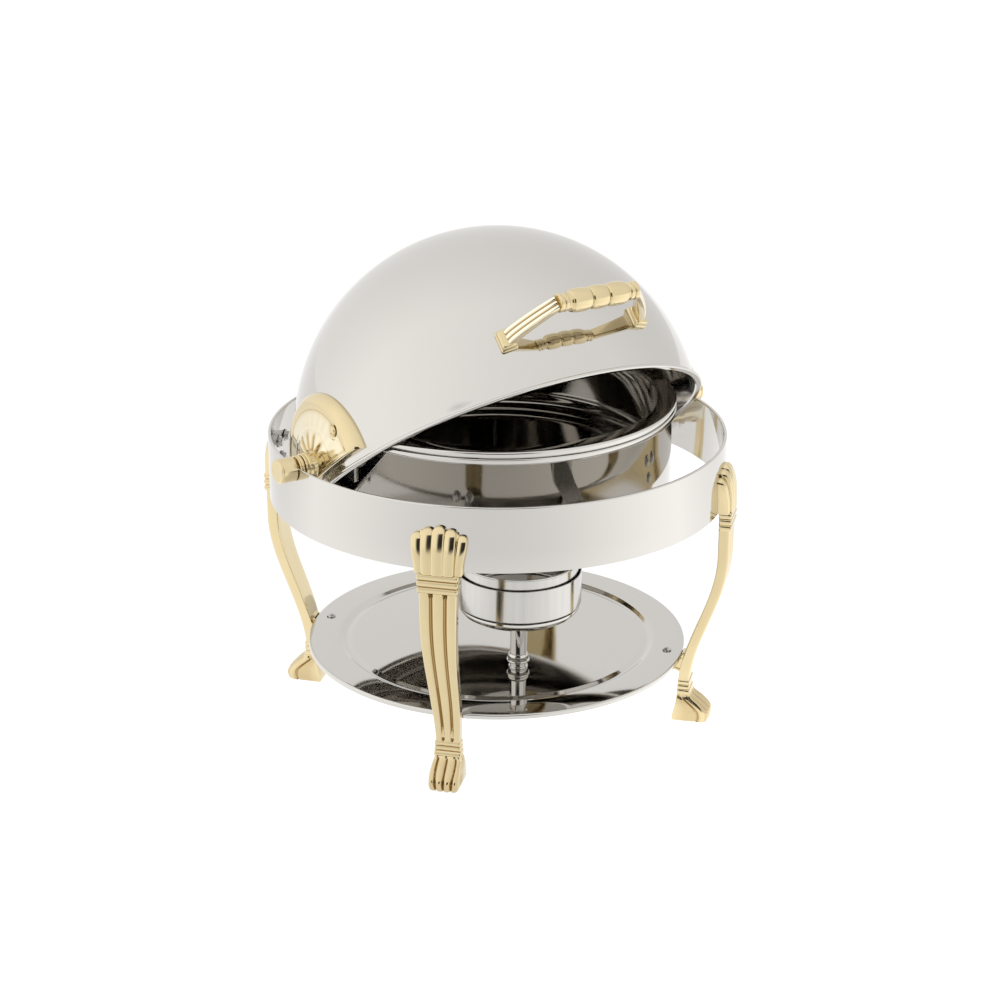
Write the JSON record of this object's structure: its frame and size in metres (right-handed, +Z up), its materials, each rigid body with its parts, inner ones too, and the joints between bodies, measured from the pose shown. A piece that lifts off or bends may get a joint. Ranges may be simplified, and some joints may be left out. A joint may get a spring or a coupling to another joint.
{
  "type": "roll top chafer",
  "caption": "Round food warmer on cast legs: a domed lid rolls back on side pivots over a food pan hung in a water pan, with a fuel holder below.",
  "frame": {"origin": "on the table, under the middle of the frame ring", "axes": "+Z up, +X along the lid's pivot axis to the right-hand pivot, -Y to the handle side"},
  "size_m": [0.494, 0.458, 0.4979],
  "materials": {
    "polished_steel": "mirror-polished stainless steel",
    "satin_steel": "plain stainless steel",
    "polished_brass": "polished and lacquered brass",
    "nylon": "natural nylon"
  },
  "bodies": {
    "stand": {"ring_band": "polished_steel", "leg_front_left": "polished_brass", "leg_front_right": "polished_brass", "leg_rear_left": "polished_brass", "leg_rear_right": "polished_brass", "leg_bolts": "satin_steel", "leg_washers": "satin_steel", "base_tray": "polished_steel", "tray_screws": "satin_steel", "burner_post": "polished_steel", "post_collar": "polished_steel", "post_screw": "satin_steel", "burner_saucer": "polished_steel", "holder_spacer": "satin_steel", "fuel_holder": "polished_steel", "holder_screw": "satin_steel", "pivot_stud_left": "satin_steel", "pivot_stud_right": "satin_steel", "pivot_bush_left": "polished_brass", "pivot_bush_right": "polished_brass", "pivot_washers": "nylon", "pan_trunnion_left": "satin_steel", "pan_trunnion_right": "satin_steel", "pan_bracket": "satin_steel", "water_pan": "polished_steel"},
    "lid": {"lid_dome": "polished_steel", "lid_fan_left": "polished_brass", "lid_fan_right": "polished_brass", "fan_screws": "polished_brass", "fan_nuts": "satin_steel", "handle_foot_left": "polished_brass", "handle_foot_right": "polished_brass", "handle_arm_left": "polished_brass", "handle_arm_right": "polished_brass", "handle_grip": "polished_brass", "handle_screws": "satin_steel"},
    "food_insert": {"food_pan": "polished_steel"},
    "fuel_insert": {"fuel_cup": "polished_steel"},
    "knob_left": {"pivot_knob_left": "polished_brass"},
    "knob_right": {"pivot_knob_right": "polished_brass"}
  },
  "joints": [
    {"name": "lid_roll", "type": "hinge", "parent": "stand", "child": "lid", "pos_m": [0, 0, 0.295], "axis": [-1, 0, 0], "range_deg": [-38.2, 51.8]},
    {"name": "food_pan_lift", "type": "slide", "parent": "stand", "child": "food_insert", "axis": [0, 0, 1], "range_m": [0, 0.035]},
    {"name": "fuel_cup_lift", "type": "slide", "parent": "stand", "child": "fuel_insert", "axis": [0, 0, 1], "range_m": [0, 0.03]},
    {"name": "knob_left_turn", "type": "hinge", "parent": "stand", "child": "knob_left", "pos_m": [-0.238, 0, 0.295], "axis": [-1, 0, 0], "range_deg": [0, 360]},
    {"name": "knob_right_turn", "type": "hinge", "parent": "stand", "child": "knob_right", "pos_m": [0.238, 0, 0.295], "axis": [1, 0, 0], "range_deg": [0, 360]}
  ]
}
